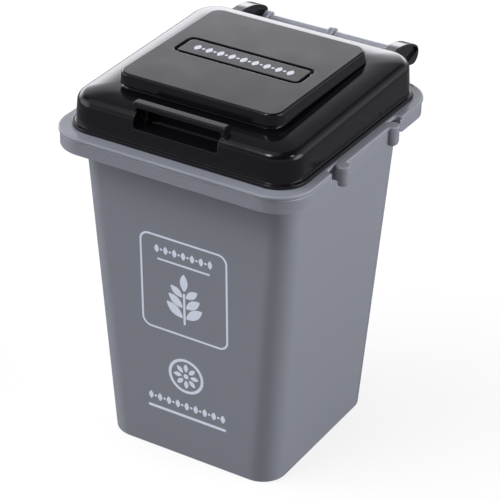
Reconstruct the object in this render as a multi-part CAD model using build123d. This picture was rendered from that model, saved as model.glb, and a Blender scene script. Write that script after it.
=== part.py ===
"""Miniature wheelie-bin style desk bin with a flip-up lid.

Millimetres. +Z is up, the origin is the centre of the base on the surface the bin
stands on, -Y is the front (finger grip) and +Y the back (hinge). The model is
symmetric about the plane X = 0.
"""
import math
import os

from build123d import *

# ---- bin body -------------------------------------------------------------------
bin_height = 100.1          # base to the top of the rim
base_width = 56.0
base_depth = 55.8
base_corner = 7.6
base_edge_round = 0.5
mouth_corner = 6.5
wall = 1.5
floor_thickness = 1.8

# ---- rim flange and its turned-down skirt ------------------------------------------
rim_width = 77.8
rim_depth = 79.6
rim_corner = 10.6
rim_side = 4.9              # from the rim's edge in to the outside of the wall, at the sides
rim_end = 7.9               # the same, at the front and the back
rim_plate = 1.2             # thickness of the flat flange
rim_bead_round = 0.5        # rounding of the flange's outer edge
rim_bead_proud = 0.35       # how far the flange stands proud of the skirt
skirt_height = 4.0          # below the flange
skirt_wall = 1.3
skirt_edge_round = 0.25

# ---- lugs: two notches in each side of the rim, each beside a half-round lug ---------
notch_inner_y = 13.9        # side of the notch next to the lug
notch_outer_y = 19.2
notch_depth = 2.0           # how far the notch reaches in from the flange's edge
notch_corner = 1.8
skirt_end_round = 1.6       # lower corner of the skirt beside the notch
skirt_end_wall = 1.3        # closes the skirt there, from the skirt in to the bin
lug_sink = 0.05             # axis of the half-round lug, in from the flange's edge
lug_y = 13.75
lug_radius = 2.05
lug_toe_drop = 0.9          # how far the lug's toe hangs below the skirt
lug_toe_rise = 1.0          # underside of the lug's inner half, above the skirt's foot
lug_toe_reach = 0.45        # inner side of the toe, in from the lug's axis
lug_toe_round = 1.5
lug_edge_round = 0.4
lug_web = 1.3               # web that closes the skirt's end behind the lug

# ---- hinge ------------------------------------------------------------------------
hinge_behind = 9.1          # hinge axis behind the rim's rear edge
hinge_above = 3.2           # hinge axis above the rim's top
rod_radius = 1.5
rod_clearance = 0.05        # radial, in the eyes and in the arms' sockets
rod_end_chamfer = 0.3
eye_radius = 2.4
eye_spacing = 21.4          # between neighbouring eyes
eye_thickness = 1.8
bracket_drop = 16.1         # from the rim's top down to the gusset's foot on the back wall
bracket_sink = 0.8          # how far a bracket reaches into the wall
gusset_lean = 40.0          # degrees, where the gusset's edges meet the eye

# ---- lid shell --------------------------------------------------------------------
lid_side = 2.8              # from the rim's edge in to the lid's lip, at the sides
lid_front = 3.8             # the same, at the front
lid_rear = 2.2              # the same, at the back
lid_corner = 8.5
lip_height = 1.0
lip_step = 1.0              # the lip stands this far proud of the lid's skirt
lip_edge_round = 0.3
lid_draft = 2.5             # degrees
lid_front_height = 9.3      # top above the rim, at the front edge
lid_rear_height = 11.0      # top above the rim, at the rear edge
lid_top_corner = 8.2        # corner of the lid's skirt at the level of the top
shoulder_round = 2.8
lid_wall = 1.4

# ---- plinth, cap and name plate ---------------------------------------------------
cap_side = 11.2             # from the lip in to the cap's top face, at the sides
cap_front = 11.0            # the same, at the front
cap_rear = 12.7             # the same, at the back
cap_corner = 3.8
cap_top_height = 14.9       # above the rim
cap_height = 3.4
cap_flare = 0.7             # the cap's foot is this much larger all round
cap_wall = 1.2
cap_top_round = 0.6
cap_foot_round = 0.4
plinth_inset = 1.2          # plinth inside the cap's foot, all round
peg_radius = 1.5
peg_clearance = 0.05
peg_inset = 6.0             # peg axis from the cap's side walls
plate_side = 5.7            # from the cap's top edge in to the plate's end
plate_depth = 8.7
plate_corner = 1.3
plate_thickness = 0.8
plate_forward = 0.35        # the plate's middle, in front of the cap's
plate_groove = 0.8          # gap between the plate and its pocket

# ---- finger recess and grip bar ---------------------------------------------------
recess_width = 26.2
recess_floor_height = 5.1   # above the rim
recess_depth = 7.4          # from the lip back to the recess's rear wall
recess_wall = 1.2
grip_post = 1.1             # post beside the recess that carries the bar
grip_behind = 2.8           # the grip bar's front, behind the lip
grip_depth = 3.1
grip_top_height = 12.0      # above the rim
grip_thickness = 1.7
grip_edge_round = 0.6

# ---- lid arms ---------------------------------------------------------------------
arm_clearance = 0.75        # between an outer eye and the arm
arm_thickness = 3.75
arm_top_height = 9.65       # above the rim, at the crest of the arch
arm_crest_ahead = 9.9       # the arch's crest, ahead of the hinge axis
arm_end_radius = 2.9        # the round rear end
arm_end_rise = 0.7          # the rear end's centre, above the hinge axis
arm_root_height = 3.4       # underside above the rim, where it leaves the lid
arm_border = 0.6            # raised border round the pan in the outer face
arm_recess = 0.7            # depth of the pan
arm_pan_foot = 0.85         # the pan's lower edge, above the hinge axis
arm_pan_slope = 15.0        # degrees, how the lower edge rises to the back
arm_edge_round = 0.3
arm_under_angle = 20.0      # degrees, where the underside leaves the rear end
socket_end_wall = 1.2

# ---- derived ----------------------------------------------------------------------
rim_top = bin_height
rim_under = rim_top - rim_plate
mouth_width = rim_width - 2 * rim_side
mouth_depth = rim_depth - 2 * rim_end
skirt_foot = rim_under - skirt_height
skirt_width = rim_width - 2 * rim_bead_proud
skirt_depth = rim_depth - 2 * rim_bead_proud
skirt_corner = rim_corner - rim_bead_proud

notch_floor_x = rim_width / 2 - notch_depth
lug_x = rim_width / 2 - lug_sink
lug_toe_x = lug_x - lug_toe_reach

hinge_y = rim_depth / 2 + hinge_behind
hinge_z = rim_top + hinge_above
bracket_foot_z = rim_top - bracket_drop

lid_width = rim_width - 2 * lid_side
lid_front_y = lid_front - rim_depth / 2
lid_rear_y = rim_depth / 2 - lid_rear
lid_depth = lid_rear_y - lid_front_y
lid_mid_y = (lid_rear_y + lid_front_y) / 2
lid_skirt_width = lid_width - 2 * lip_step
lid_skirt_depth = lid_depth - 2 * lip_step
lid_skirt_corner = lid_corner - lip_step
lid_slope = math.degrees(math.atan2(lid_rear_height - lid_front_height, lid_depth))

cap_width = lid_width - 2 * cap_side
cap_front_y = lid_front_y + cap_front
cap_rear_y = lid_rear_y - cap_rear
cap_top = rim_top + cap_top_height
cap_foot = cap_top - cap_height
cap_depth = cap_rear_y - cap_front_y
cap_mid_y = (cap_rear_y + cap_front_y) / 2
cap_draft = math.degrees(math.atan2(cap_flare, cap_height))
cap_foot_width = cap_width + 2 * cap_flare
cap_foot_depth = cap_depth + 2 * cap_flare
cap_foot_corner = cap_corner + cap_flare
plinth_width = cap_foot_width - 2 * plinth_inset
plinth_depth = cap_foot_depth - 2 * plinth_inset
plinth_corner = cap_foot_corner - plinth_inset
plate_width = cap_width - 2 * plate_side
plate_mid_y = cap_mid_y - plate_forward

recess_back_y = lid_front_y + recess_depth
recess_floor = rim_top + recess_floor_height
grip_front_y = lid_front_y + grip_behind
grip_top = rim_top + grip_top_height
grip_width = recess_width + 2 * grip_post

arm_crest_y = hinge_y - arm_crest_ahead
arm_inner_x = eye_spacing + eye_thickness / 2 + arm_clearance
arm_outer_x = arm_inner_x + arm_thickness
socket_depth = arm_thickness - socket_end_wall
rod_length = 2 * (arm_inner_x + socket_depth - rod_clearance)

SIDES = (-1, 1)
TALL = 60.0                 # longer than anything that is cut off


def block(width, depth, corner, z_low, z_high, y_mid=0.0, draft=0.0):
    """Upright block with rounded corners, narrowing upwards by the draft angle."""
    outline = Pos(0, y_mid, z_low) * RectangleRounded(width, depth, corner)
    return extrude(outline, amount=z_high - z_low, taper=draft)


def box_between(x_low, x_high, y_low, y_high, z_low, z_high):
    """Plain box from its lowest to its highest corner."""
    centre = Pos((x_low + x_high) / 2, (y_low + y_high) / 2, (z_low + z_high) / 2)
    return centre * Box(x_high - x_low, y_high - y_low, z_high - z_low)


def side_plate(outline, x_low, x_high):
    """Plate of a YZ outline, from x_low to x_high. The outline's own x is +Y, its y is +Z."""
    return extrude(Plane.YZ.offset(x_low) * outline, amount=x_high - x_low)


def bin_shell(inset, z_low):
    """Tapered bin form, drawn in by the inset all round, from z_low to the rim top."""
    share = z_low / bin_height
    low_width = base_width + (mouth_width - base_width) * share - 2 * inset
    low_depth = base_depth + (mouth_depth - base_depth) * share - 2 * inset
    low_corner = base_corner + (mouth_corner - base_corner) * share - inset
    low = Pos(0, 0, z_low) * RectangleRounded(low_width, low_depth, low_corner)
    high = Pos(0, 0, rim_top) * RectangleRounded(
        mouth_width - 2 * inset, mouth_depth - 2 * inset, mouth_corner - inset
    )
    return loft([low, high])


def rim_flange():
    """Flat flange with a beaded edge, and the skirt that hangs from it."""
    plate = block(rim_width, rim_depth, rim_corner, rim_under, rim_top)
    bead = plate.edges().group_by(Axis.Z)[0] + plate.edges().group_by(Axis.Z)[-1]
    plate = fillet(bead, rim_bead_round)
    outside = block(skirt_width, skirt_depth, skirt_corner, skirt_foot, rim_top - rim_plate / 2)
    outside = fillet(outside.edges().group_by(Axis.Z)[0], skirt_edge_round)
    inside = block(
        skirt_width - 2 * skirt_wall,
        skirt_depth - 2 * skirt_wall,
        skirt_corner - skirt_wall,
        skirt_foot,
        rim_under,
    )
    return plate + (outside - inside)


def flange_slot(side, end):
    """Cutter for a notch's round-cornered slot through the flange."""
    reach = rim_width / 2 - notch_floor_x
    outline = Pos(
        side * (notch_floor_x + reach), end * (notch_inner_y + notch_outer_y) / 2, rim_under
    ) * RectangleRounded(2 * reach, notch_outer_y - notch_inner_y, notch_corner)
    return extrude(outline, amount=2 * rim_plate)


def skirt_gap(end):
    """Cutter for the gap in both side skirts under a notch, as a plate right across.

    The far skirt's lower corner is left with a quarter-round end.
    """
    middle_y = (notch_inner_y + notch_outer_y) / 2
    length = notch_outer_y - notch_inner_y
    gap = Pos(middle_y, rim_under - skirt_height) * Rectangle(length, 2 * skirt_height)
    corner = Pos(notch_outer_y, skirt_foot) * Rectangle(2 * skirt_end_round, 2 * skirt_end_round)
    round_centre = (notch_outer_y + skirt_end_round, skirt_foot + skirt_end_round)
    corner -= Pos(*round_centre) * Circle(skirt_end_round)
    outline = gap + corner
    if end < 0:
        outline = mirror(outline, Plane.YZ)
    return side_plate(outline, -rim_width, rim_width)


def skirt_end(side, end):
    """Wall that closes the far skirt's end beside a notch, from the skirt in to the bin."""
    outer_x = (skirt_width - skirt_wall) / 2
    inner, outer = sorted((side * (mouth_width / 2 - wall), side * outer_x))
    near, far = sorted((end * notch_outer_y, end * (notch_outer_y + skirt_end_wall)))
    return box_between(inner, outer, near, far, skirt_foot, rim_under)


def rim_lug(side, end):
    """Half-round lug beside the notch, its toe below the skirt, and the web behind it."""
    toe_foot = skirt_foot - lug_toe_drop
    post = Pos(side * lug_x, end * lug_y, toe_foot) * Circle(lug_radius)
    lug = extrude(post, amount=rim_top - toe_foot)
    lug = fillet(lug.edges().group_by(Axis.Z)[0], lug_toe_round)
    lug = fillet(lug.edges().group_by(Axis.Z)[-1], lug_edge_round)
    inner, outer = sorted((side * lug_toe_x, side * (lug_x - 2 * lug_radius)))
    lug -= box_between(inner, outer, -TALL, TALL, toe_foot, skirt_foot + lug_toe_rise)
    inner, outer = sorted((side * (mouth_width / 2 - wall), side * lug_x))
    near, far = sorted((end * (notch_inner_y - lug_web), end * notch_inner_y))
    return lug + box_between(inner, outer, near, far, skirt_foot, rim_under)


def hinge_bracket(x):
    """Gusset plate from the bin's back wall up to its eye round the hinge rod."""
    wall_y = mouth_depth / 2 - bracket_sink
    foot_share = bracket_foot_z / bin_height
    foot_y = (base_depth + (mouth_depth - base_depth) * foot_share) / 2 - bracket_sink
    lean = math.radians(gusset_lean)
    under = (hinge_y + eye_radius * math.sin(lean), hinge_z - eye_radius * math.cos(lean))
    over = (hinge_y - eye_radius * math.sin(lean), hinge_z + eye_radius * math.cos(lean))
    gusset = make_face(
        Polyline(
            (foot_y, bracket_foot_z),
            under,
            over,
            (rim_depth / 2 - rim_bead_proud, rim_top - rim_bead_round),
            (wall_y, rim_top - rim_bead_round),
            close=True,
        )
    )
    outline = gusset + Pos(hinge_y, hinge_z) * Circle(eye_radius)
    bracket = side_plate(outline, x - eye_thickness / 2, x + eye_thickness / 2)
    return bracket - bin_shell(wall, floor_thickness)


def make_bin_body():
    """The grey bin: one moulding with its rim, lugs and hinge brackets."""
    shell = bin_shell(0, 0)
    shell = fillet(shell.edges().group_by(Axis.Z)[0], base_edge_round)
    flange = rim_flange()
    for end in SIDES:
        for side in SIDES:
            flange += skirt_end(side, end)
            flange -= flange_slot(side, end)
        flange -= skirt_gap(end)
    body = shell + flange
    for side in SIDES:
        for end in SIDES:
            body += rim_lug(side, end)
    body -= bin_shell(wall, floor_thickness)
    for number in (-1, 0, 1):
        body += hinge_bracket(number * eye_spacing)
    bore = Pos(0, hinge_y, hinge_z) * Rot(0, 90, 0)
    return body - bore * Cylinder(rod_radius + rod_clearance, rod_length)


def make_hinge_rod():
    """Round bar through the three eyes, its ends in the arms' blind sockets."""
    rod = Rot(0, 90, 0) * Cylinder(rod_radius, rod_length)
    rod = chamfer(rod.edges().filter_by(GeomType.CIRCLE), rod_end_chamfer)
    return Pos(0, hinge_y, hinge_z) * rod


def under_lid_top(form, drop=0.0):
    """The part of a form that lies under the lid's sloping top, less the drop."""
    front_top = Vector(0, lid_front_y, rim_top + lid_front_height - drop)
    slope = math.radians(lid_slope)
    top_plane = Plane(
        origin=front_top, x_dir=(1, 0, 0), z_dir=(0, -math.sin(slope), math.cos(slope))
    )
    return split(form, bisect_by=top_plane, keep=Keep.BOTTOM)


def lid_skirt(inset):
    """Drafted skirt form, drawn in by the inset, its corners opening towards the top."""
    lean = lid_rear_height * math.tan(math.radians(lid_draft)) + inset
    foot = Pos(0, lid_mid_y, rim_top) * RectangleRounded(
        lid_skirt_width - 2 * inset, lid_skirt_depth - 2 * inset, lid_skirt_corner - inset
    )
    head = Pos(0, lid_mid_y, rim_top + lid_rear_height) * RectangleRounded(
        lid_skirt_width - 2 * lean, lid_skirt_depth - 2 * lean, lid_top_corner - inset
    )
    return loft([foot, head])


def lid_form():
    """Outside of the lid: lip, drafted skirt, and sloping top with a round shoulder."""
    lip = block(lid_width, lid_depth, lid_corner, rim_top, rim_top + lip_height, lid_mid_y)
    lip = fillet(lip.edges().group_by(Axis.Z)[-1], lip_edge_round)
    dome = under_lid_top(lid_skirt(0))
    dome = fillet(dome.faces().sort_by(Axis.Z)[-1].edges(), shoulder_round)
    return lip + dome


def lid_hollow():
    """Inside of the lid: one wall thickness in from the skirt and the top."""
    hollow = under_lid_top(lid_skirt(lid_wall), lid_wall)
    plinth_room = block(
        plinth_width - 2 * lid_wall,
        plinth_depth - 2 * lid_wall,
        plinth_corner - lid_wall,
        rim_top,
        cap_foot - lid_wall,
        cap_mid_y,
    )
    return hollow + plinth_room


def finger_recess(grow=0.0):
    """Pocket cut into the lid's front, larger all round by the growth."""
    half = recess_width / 2 + grow
    return box_between(
        -half,
        half,
        lid_front_y - TALL,
        recess_back_y + grow,
        recess_floor - grow,
        recess_floor + TALL,
    )


def grip_bar():
    """Bar across the recess on two short posts, open in front, under and behind."""
    grip_rear_y = grip_front_y + grip_depth
    half = grip_width / 2
    bar = box_between(-half, half, grip_front_y, grip_rear_y, recess_floor, grip_top)
    bar = fillet(bar.edges().group_by(Axis.Z)[-1], grip_edge_round)
    half_gap = recess_width / 2
    gap = box_between(
        -half_gap,
        half_gap,
        grip_front_y,
        grip_rear_y,
        recess_floor,
        grip_top - grip_thickness,
    )
    return bar - gap


def arm_outline(border=0.0):
    """YZ outline of an arm: an arch over the hinge that ends in a round rear end."""
    crest_z = rim_top + arm_top_height - border
    radius = arm_end_radius - border
    end = Vector(hinge_y, hinge_z + arm_end_rise)
    run = end.X - arm_crest_y
    fall = crest_z - end.Y
    arch = (run**2 + fall**2 - radius**2) / (2 * (fall - radius))
    centre = Vector(arm_crest_y, crest_z - arch)
    towards = (end - centre).normalized()
    touch = centre + towards * arch
    middle_angle = (90 + math.degrees(math.atan2(towards.Y, towards.X))) / 2
    middle = centre + Vector(1, 0).rotate(Axis.Z, middle_angle) * arch
    root_y = lid_rear_y - lip_step - lid_wall + border
    root_z = rim_top + arm_root_height + border
    under_angle = math.radians(arm_under_angle)
    foot = (end.X - radius * math.sin(under_angle), end.Y - radius * math.cos(under_angle))
    over = ThreePointArc((arm_crest_y, crest_z), middle, touch)
    rear = ThreePointArc(touch, (end.X + radius, end.Y), (end.X, end.Y - radius))
    under = Polyline((end.X, end.Y - radius), foot, (root_y, root_z), (root_y, crest_z))
    lead = Line((root_y, crest_z), (arm_crest_y, crest_z))
    return make_face([over, rear, under, lead])


def lid_arm(side):
    """One arm, with a blind socket for the rod's end under the pan in its outer face."""
    low, high = sorted((side * arm_inner_x, side * arm_outer_x))
    arm = side_plate(arm_outline(), low, high)
    flanks = arm.faces().sort_by(Axis.X)
    arm = fillet(flanks[0].edges() + flanks[-1].edges(), arm_edge_round)
    face = side * (arm_outer_x - arm_recess)
    low, high = sorted((face, face + side * TALL))
    lower_edge = Pos(hinge_y, hinge_z + arm_pan_foot) * Rot(0, 0, arm_pan_slope)
    pan = arm_outline(arm_border) - lower_edge * Pos(0, -TALL / 2) * Rectangle(2 * TALL, TALL)
    return arm - side_plate(pan, low, high)


def rod_sockets():
    """Bores for the rod's ends, through the arms' inner faces to the socket ends."""
    reach = arm_inner_x + socket_depth
    bore = Rot(0, 90, 0) * Cylinder(rod_radius + rod_clearance, 2 * reach)
    return Pos(0, hinge_y, hinge_z) * bore


def peg_places():
    """Where the cap's four pegs stand, as X and Y."""
    reach_x = cap_width / 2 - peg_inset
    reach_y = cap_depth / 2 - peg_inset
    return [(sx * reach_x, cap_mid_y + sy * reach_y) for sx in SIDES for sy in SIDES]


def make_lid_shell():
    """The black lid: skirt and top, plinth, finger recess with grip bar, and arms."""
    plinth = block(
        plinth_width, plinth_depth, plinth_corner, rim_top + lip_height, cap_foot, cap_mid_y
    )
    hollow = lid_hollow() - finger_recess(recess_wall)
    shell = lid_form() + plinth
    for side in SIDES:
        shell += lid_arm(side)
    shell -= hollow
    shell = shell - finger_recess() + grip_bar()
    shell -= rod_sockets()
    for x, y in peg_places():
        hole = Pos(x, y, cap_foot - lid_wall / 2)
        shell -= hole * Cylinder(peg_radius + peg_clearance, 2 * lid_wall)
    return shell


def make_lid_cap():
    """Raised top panel: a shallow tray upside down, with pegs and a plate pocket."""
    cap = block(
        cap_foot_width,
        cap_foot_depth,
        cap_foot_corner,
        cap_foot,
        cap_top,
        cap_mid_y,
        cap_draft,
    )
    cap = fillet(cap.edges().group_by(Axis.Z)[-1], cap_top_round)
    cap = fillet(cap.edges().group_by(Axis.Z)[0], cap_foot_round)
    under_top = cap_top - plate_thickness - cap_wall
    hollow = block(
        plinth_width - 2 * cap_wall,
        plinth_depth - 2 * cap_wall,
        plinth_corner - cap_wall,
        cap_foot,
        under_top,
        cap_mid_y,
    )
    cap -= hollow
    pocket_width = plate_width + 2 * plate_groove
    pocket_depth = plate_depth + 2 * plate_groove
    cap -= block(
        pocket_width,
        pocket_depth,
        plate_corner + plate_groove,
        cap_top - plate_thickness,
        cap_top + TALL,
        plate_mid_y,
    )
    for x, y in peg_places():
        peg_foot = cap_foot - lid_wall
        peg = Pos(x, y, (peg_foot + under_top) / 2)
        cap += peg * Cylinder(peg_radius, under_top - peg_foot)
    return cap


def make_name_plate():
    """Plain plate that lies in the cap's pocket, flush with the top."""
    return block(
        plate_width, plate_depth, plate_corner, cap_top - plate_thickness, cap_top, plate_mid_y
    )


NODES = {
    "bin_body": make_bin_body,
    "hinge_rod": make_hinge_rod,
    "lid_shell": make_lid_shell,
    "lid_cap": make_lid_cap,
    "name_plate": make_name_plate,
}

os.makedirs("parts", exist_ok=True)
for node, make in NODES.items():
    export_step(make(), f"parts/{node}.step")
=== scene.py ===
import math

import bpy
import numpy as np
from mathutils import Matrix


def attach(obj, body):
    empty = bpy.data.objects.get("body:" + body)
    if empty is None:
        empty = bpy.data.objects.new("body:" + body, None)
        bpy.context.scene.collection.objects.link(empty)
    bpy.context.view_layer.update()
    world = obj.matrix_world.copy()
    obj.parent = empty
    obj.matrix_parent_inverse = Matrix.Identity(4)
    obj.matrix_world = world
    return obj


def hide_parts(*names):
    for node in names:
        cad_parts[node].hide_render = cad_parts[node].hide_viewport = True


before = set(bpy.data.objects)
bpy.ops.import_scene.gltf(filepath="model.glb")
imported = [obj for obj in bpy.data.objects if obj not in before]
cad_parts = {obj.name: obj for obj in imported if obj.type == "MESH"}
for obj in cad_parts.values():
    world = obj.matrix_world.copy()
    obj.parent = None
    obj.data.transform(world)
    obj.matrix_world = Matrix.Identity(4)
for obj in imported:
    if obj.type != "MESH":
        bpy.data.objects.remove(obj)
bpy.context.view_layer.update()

# Every size below is in millimetres, in the frame's axes: +Z up, -Y the front with the
# finger grip, +Y the back with the hinge. Meshes are scaled to metres as they are made.
METRE = 0.001

# ---- bin ------------------------------------------------------------------------------
RIM_TOP = 100.1
BASE = (56.0, 55.8, 7.6)            # width, depth, corner at the foot
MOUTH = (68.0, 63.8, 6.5)           # the same, level with the rim's top
WALL = 1.5
FLOOR = 1.8
RIM = (77.8, 79.6, 10.6)
RIM_PLATE = 1.2
RIM_BEAD = 0.4                      # rounding of the plate's edge
SKIRT_INSET = 0.35                  # skirt inside the plate's edge
SKIRT_HEIGHT = 4.0
SKIRT_WALL = 1.3
SKIRT_SHOULDER = 0.3                # rounding at its top, which leaves a groove under the plate
SKIRT_END = 1.6                     # quarter-round end of the skirt beside a notch
NOTCH_INNER = 13.9
NOTCH_OUTER = 19.2
NOTCH_DEPTH = 2.0
NOTCH_ROUND = 1.1                   # inner corner of the notch
NOTCH_LEAD = 0.8                    # rounded outer corner of the notch
LUG = (38.85, 13.75, 2.05)          # axis x, axis y, radius
LUG_NECK = 0.1                      # the post is this much slimmer than the bead round it
LUG_DROP = 0.9
LUG_TOE = 1.5
LUG_TOE_REACH = 0.45                # inner side of the toe, in from the lug's axis
LUG_TOE_RISE = 1.0
LUG_WEB = 1.3
WALL_BITE = 1.0                     # how far ribs behind the skirt run into the wall's thickness
FOOT_ROUND = 0.5
INNER_ROUND = 0.8                   # edge of the floor inside

# ---- hinge ----------------------------------------------------------------------------
HINGE = (48.9, 103.3)               # y, z
ROD_RADIUS = 1.5
BORE_RADIUS = 1.55
EYE_RADIUS = 2.4
EYE_SPACING = 21.4
EYE_THICKNESS = 1.8
BRACKET_FOOT = 84.0
GUSSET_LEAN = 40.0                  # degrees
GUSSET_BITE = 0.8                   # how far the gussets run into the back wall
GUSSET_EDGE = 0.25
ROD_END_GAP = 0.05                  # between the bar's end and the bottom of its socket

# ---- lid ------------------------------------------------------------------------------
LIP = (72.2, 73.6, 8.5)
LID_MID_Y = 0.8
LIP_HEIGHT = 1.0
LIP_STEP = 1.0
LIP_ROUND = 0.3
DRAFT = 2.5                         # degrees
LID_FRONT_Y = -36.0
LID_FRONT_TOP = 9.3                 # top above the rim at the front edge
LID_REAR_TOP = 11.0
LID_TOP_CORNER = 8.2
SHOULDER = 2.8                      # radius
CROWN_EDGE = 10.0                   # degrees that the top falls away at the shoulder
CROWN_RISE = 0.72                   # of the top, from the shoulder to the plinth
CROWN_REACH = 8.3                   # length that turns the crown's angle into its first slope
LID_WALL = 1.4
CAP = (49.8, 49.9, 3.8)             # level with the top face
CAP_MID_Y = -0.05
CAP_TOP = 115.0
CAP_HEIGHT = 3.4
CAP_FLARE = 0.7
CAP_WALL = 1.2
PLINTH_INSET = 1.2
PLINTH_FILLET = 0.7
PEG_RADIUS = 1.5
PEG_INSET = 6.0
PEG_CLEARANCE = 0.05
CAP_TOP_ROUND = 0.6
CAP_FOOT_ROUND = 0.4
PLATE = (37.8, 8.1, 1.1)
PLATE_MID_Y = -0.4
PLATE_DEEP = 0.8
PLATE_SINK = 0.05                   # its top, below the cap's
PLATE_EDGE = 0.15
POCKET_LEAD = 0.12                  # chamfer round the pocket's mouth
GROOVE = 1.15

# ---- finger recess, grip and arms -----------------------------------------------------
RECESS_WIDTH = 26.2
RECESS_FLOOR = 105.2
RECESS_BACK_Y = -28.6
RECESS_WALL = 1.2
RECESS_LENGTH = 14.0                # of the cutting block, front to back, past the lid's front
RECESS_EDGE = 0.6
RECESS_CORNER = 0.9
GRIP_POST = 1.1
GRIP_FRONT_Y = -33.2
GRIP_DEPTH = 3.1
GRIP_TOP = 112.1
GRIP_THICK = 1.7
GRIP_ROUND = 0.6
ARM_INNER_X = 23.05
ARM_THICK = 3.75
ARM_CREST = (39.0, 109.75)          # y, z of the arch's highest point
ARM_END = 2.9                       # radius of the round rear end
ARM_END_RISE = 0.7                  # its centre, above the hinge axis
ARM_ROOT = (35.2, 103.5)            # y, z of the underside at the lid
ARM_BORDER = 0.6                    # raised border round the pan in the outer face
ARM_PAN = 0.7                       # depth of the pan
ARM_PAN_FOOT = 0.85                 # the pan's lower edge, above the hinge axis
ARM_PAN_SLOPE = 15.0                # degrees
ARM_EDGE = 0.3
SOCKET_DEPTH = 2.55

# ---- studio: light directions point away from the object, angles are in degrees ---------
BACKDROP_LEVELS = [                 # sine of the elevation, share of the full level
    (0.0, 0.50),
    (0.20, 0.96),
    (0.29, 1.0),
    (0.36, 0.52),
    (0.42, 0.27),
    (0.50, 0.157),
    (0.58, 0.051),
    (0.70, 0.035),
    (1.0, 0.035),
]
BACKDROP_POWER = 4.6
BACKDROP_SIDE = (-0.62, 0.78, 0)
BACKDROP_EDGE = (0.62, 0.95)        # cosines between which the backdrop fades in
ROOM_SHARE = 0.08
LAMPS = [                           # direction, where it is full, where it ends, level
    ((-0.26, -0.52, 0.80), 4, 12, 8.0),
    ((0.75, 0.02, 0.66), 2, 9, 4.5),
    ((0.70, 0.66, 0.25), 12, 45, 0.35),
]
FILLS = [                           # the same, for soft fills that gloss shows only faintly
    ((0.95, 0.28, 0.14), 8, 27, 10.8),
    ((-0.90, -0.42, 0.22), 12, 34, 5.8),
    ((-0.35, -0.30, 0.88), 14, 38, 2.2),
]
FILL_IN_GLOSS = 0.22
LIGHT_TINT = (0.985, 0.985, 1.04)
FLOOR_TONE = 0.16
FLOOR_LIFT = 0.82

# ---- camera ---------------------------------------------------------------------------
CAMERA_ANGLES = (30.73, 30.24, 1.06)    # azimuth, elevation and roll, in degrees
CAMERA_TARGET = (2.84, 0, 56.2)
CAMERA_DISTANCE = 624.2
SENSOR = 36.0
FOCAL_SHARE = 2203.4 / 500              # focal length, as a share of the picture's width

# ---- printed marks --------------------------------------------------------------------
INK_SINK = 0.05                     # the film's underside is inside the surface
INK_THICK = 0.02
PRINT_LINE = 0.6
PRINT_FRAME = (28.2, 31.0, 3.0)     # width, height, corner
PRINT_FRAME_Z = 57.2
PRINT_ROW_Z = 68.2                  # row of motifs under the frame's top
PRINT_RULE_Z = 65.0
SPRIG_FOOT_Z = 45.8
ROSETTE_Z = 28.4
ROSETTE_RADIUS = 5.8
FOOT_ROW_Z = 18.0
FOOT_RULE_Z = 14.4

CAP_FOOT = CAP_TOP - CAP_HEIGHT
SKIRT_FOOT = RIM_TOP - RIM_PLATE - SKIRT_HEIGHT
LID_SLOPE = (LID_REAR_TOP - LID_FRONT_TOP) / LIP[1]
ARC_STEPS = 10


# ---- outlines: closed lists of points in a plane, anticlockwise ------------------------

def arc(centre, radius, start, stop, steps=ARC_STEPS):
    """Points centre + radius * (cos t, sin t), t going evenly from start to stop, in degrees."""
    t = np.radians(np.linspace(start, stop, steps + 1))
    return np.column_stack([centre[0] + radius * np.cos(t), centre[1] + radius * np.sin(t)])


def tidy(*runs):
    """The runs one after another as one closed outline, without points that repeat."""
    points = np.vstack([np.atleast_2d(run) for run in runs])
    step = np.linalg.norm(points - np.roll(points, 1, axis=0), axis=1)
    return points[step > 1e-4]


def inset(outline, distance):
    """Each point moved into the outline by the distance, along the mitre of its two edges.

    The mitre is (n1 + n2) / (1 + n1 . n2), where n1 and n2 are the edges' inward normals.
    """
    edge = np.roll(outline, -1, axis=0) - outline
    edge = edge / np.linalg.norm(edge, axis=1, keepdims=True)
    after = np.column_stack([-edge[:, 1], edge[:, 0]])
    before = np.roll(after, 1, axis=0)
    mitre = (after + before) / (1 + np.sum(after * before, axis=1, keepdims=True))
    return outline + mitre * distance


def rounded_rectangle(width, depth, corner, middle=(0.0, 0.0), side_steps=8, corner_steps=14):
    """Rectangle with quarter-circle corners, its straight sides divided evenly.

    Point k is the corner's centre plus corner * (cos t, sin t), t running once round. Width,
    depth and corner may be arrays with one value a row, which gives one outline a row.
    """
    width, depth, corner = (np.atleast_1d(value)[:, None] for value in (width, depth, corner))
    t = np.radians(np.linspace(0, 90, corner_steps + 1))
    share = np.linspace(0, 1, side_steps + 1)[None, 1:-1]
    half_x, half_y = width / 2 - corner, depth / 2 - corner
    x, y = [], []
    for turn, (sx, sy) in enumerate([(1, 1), (-1, 1), (-1, -1), (1, -1)]):
        x += [sx * half_x + corner * np.cos(t + turn * np.pi / 2)]
        y += [sy * half_y + corner * np.sin(t + turn * np.pi / 2)]
        if turn % 2 == 0:
            x += [sx * half_x * (1 - 2 * share)]
            y += [sy * (half_y + corner) + 0 * share]
        else:
            x += [sx * (half_x + corner) + 0 * share]
            y += [sy * half_y * (1 - 2 * share)]
    points = np.stack([np.hstack(x) + middle[0], np.hstack(y) + middle[1]], axis=-1)
    return points[0] if len(points) == 1 else points


# ---- solids: rows of closed loops, made into closed meshes ------------------------------

def upright(loops, heights):
    """Loops of (x, y) points, each row at its height, as rows of (x, y, z)."""
    return np.concatenate([loops, np.broadcast_to(heights, loops.shape[:-1])[..., None]], axis=-1)


def sideways(loops, heights):
    """Loops of (y, z) points, each row at its own x, as rows of (x, y, z)."""
    return np.concatenate([np.broadcast_to(heights, loops.shape[:-1])[..., None], loops], axis=-1)


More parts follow.
